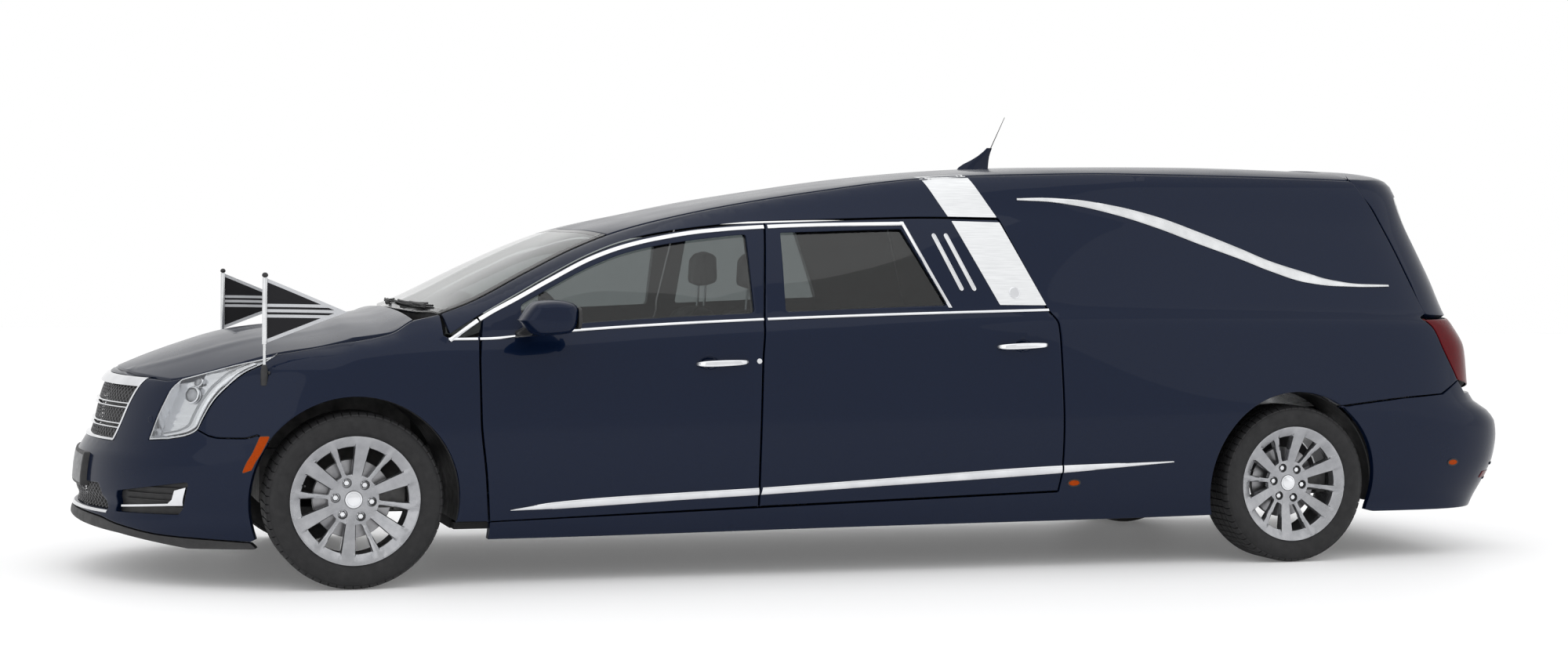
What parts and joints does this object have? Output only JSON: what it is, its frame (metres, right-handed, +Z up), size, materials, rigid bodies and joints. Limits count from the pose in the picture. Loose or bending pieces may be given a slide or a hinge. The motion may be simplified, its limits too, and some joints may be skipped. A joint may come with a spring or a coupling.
{
  "type": "hearse",
  "caption": "Long-wheelbase four-door hearse with opening doors, hood and tailgate, steered front wheels, load deck and two wing pennants.",
  "frame": {"origin": "on the ground, midway along and across the car", "axes": "+X forward, +Y to the car's left, +Z up"},
  "size_m": [6.2, 2.23, 1.9169],
  "materials": {
    "navy_paint": "gloss metallic",
    "black_trim": "matte",
    "chrome": "polished",
    "tinted_glass": "tinted",
    "lamp_glass": "clear",
    "red_lamp": "gloss",
    "rubber": "matte",
    "alloy": "satin",
    "steel": "bare",
    "leather": "satin",
    "deck_steel": "brushed",
    "pennant_cloth": "woven"
  },
  "bodies": {
    "car": {"front_bumper": "navy_paint", "grille": "chrome", "cowl": "black_trim", "windscreen": "tinted_glass", "roof": "navy_paint", "rear_bumper": "navy_paint", "floor": "black_trim", "dashboard": "black_trim", "bier_deck": "deck_steel", "front_subframe": "steel", "rear_axle": "steel", "engine": "steel", "fender_left": "navy_paint", "headlamp_left": "lamp_glass", "body_side_left": "navy_paint", "tail_lamp_left": "red_lamp", "seat_left": "leather", "pennant_left": "pennant_cloth", "fender_right": "navy_paint", "headlamp_right": "lamp_glass", "body_side_right": "navy_paint", "tail_lamp_right": "red_lamp", "seat_right": "leather", "pennant_right": "pennant_cloth"},
    "hood": {"hood": "navy_paint"},
    "tailgate": {"tailgate": "navy_paint", "tailgate_glass": "tinted_glass"},
    "steering_wheel": {"steering_wheel": "black_trim"},
    "front_door_left": {"front_door_left": "navy_paint", "front_door_glass_left": "tinted_glass", "mirror_left": "navy_paint"},
    "rear_door_left": {"rear_door_left": "navy_paint", "rear_door_glass_left": "tinted_glass"},
    "knuckle_left": {"knuckle_left": "steel"},
    "wheel_front_left": {"tyre_front_left": "rubber", "rim_front_left": "alloy"},
    "wheel_rear_left": {"tyre_rear_left": "rubber", "rim_rear_left": "alloy"},
    "front_door_right": {"front_door_right": "navy_paint", "front_door_glass_right": "tinted_glass", "mirror_right": "navy_paint"},
    "rear_door_right": {"rear_door_right": "navy_paint", "rear_door_glass_right": "tinted_glass"},
    "knuckle_right": {"knuckle_right": "steel"},
    "wheel_front_right": {"tyre_front_right": "rubber", "rim_front_right": "alloy"},
    "wheel_rear_right": {"tyre_rear_right": "rubber", "rim_rear_right": "alloy"}
  },
  "joints": [
    {"name": "steer_left", "type": "hinge", "parent": "car", "child": "knuckle_left", "pos_m": [2.1, 0.795, 0.33511], "axis": [0, 0, 1], "range_deg": [-35, 35]},
    {"name": "front_door_left_hinge", "type": "hinge", "parent": "car", "child": "front_door_left", "pos_m": [1.62917, 0.926, 0.6], "axis": [0, 0, -1], "range_deg": [0, 68]},
    {"name": "rear_door_left_hinge", "type": "hinge", "parent": "car", "child": "rear_door_left", "pos_m": [0.50798, 0.926, 0.6], "axis": [0, 0, -1], "range_deg": [0, 68]},
    {"name": "wheel_front_left_spin", "type": "hinge", "parent": "knuckle_left", "child": "wheel_front_left", "pos_m": [2.1, 0.795, 0.33511], "axis": [0, 1, 0], "continuous": true},
    {"name": "wheel_rear_left_spin", "type": "hinge", "parent": "car", "child": "wheel_rear_left", "pos_m": [-1.89, 0.795, 0.33511], "axis": [0, 1, 0], "continuous": true},
    {"name": "steer_right", "type": "hinge", "parent": "car", "child": "knuckle_right", "pos_m": [2.1, -0.795, 0.33511], "axis": [0, 0, 1], "range_deg": [-35, 35]},
    {"name": "front_door_right_hinge", "type": "hinge", "parent": "car", "child": "front_door_right", "pos_m": [1.62917, -0.926, 0.6], "axis": [0, 0, 1], "range_deg": [0, 68]},
    {"name": "rear_door_right_hinge", "type": "hinge", "parent": "car", "child": "rear_door_right", "pos_m": [0.50798, -0.926, 0.6], "axis": [0, 0, 1], "range_deg": [0, 68]},
    {"name": "wheel_front_right_spin", "type": "hinge", "parent": "knuckle_right", "child": "wheel_front_right", "pos_m": [2.1, -0.795, 0.33511], "axis": [0, 1, 0], "continuous": true},
    {"name": "wheel_rear_right_spin", "type": "hinge", "parent": "car", "child": "wheel_rear_right", "pos_m": [-1.89, -0.795, 0.33511], "axis": [0, 1, 0], "continuous": true},
    {"name": "hood_hinge", "type": "hinge", "parent": "car", "child": "hood", "pos_m": [1.87058, 0, 1.05058], "axis": [0, -1, 0], "range_deg": [0, 48]},
    {"name": "tailgate_hinge", "type": "hinge", "parent": "car", "child": "tailgate", "pos_m": [-2.32113, 0, 1.7073], "axis": [0, 1, 0], "range_deg": [0, 85]},
    {"name": "steering_wheel_turn", "type": "hinge", "parent": "car", "child": "steering_wheel", "pos_m": [1.19668, 0.37, 0.9383], "axis": [-0.9135, 0, 0.4067], "range_deg": [-540, 540]}
  ],
  "couplings": [
    {"joint": "steer_right", "follows": "steer_left", "ratio": 1},
    {"joint": "steering_wheel_turn", "follows": "steer_left", "ratio": 15}
  ]
}
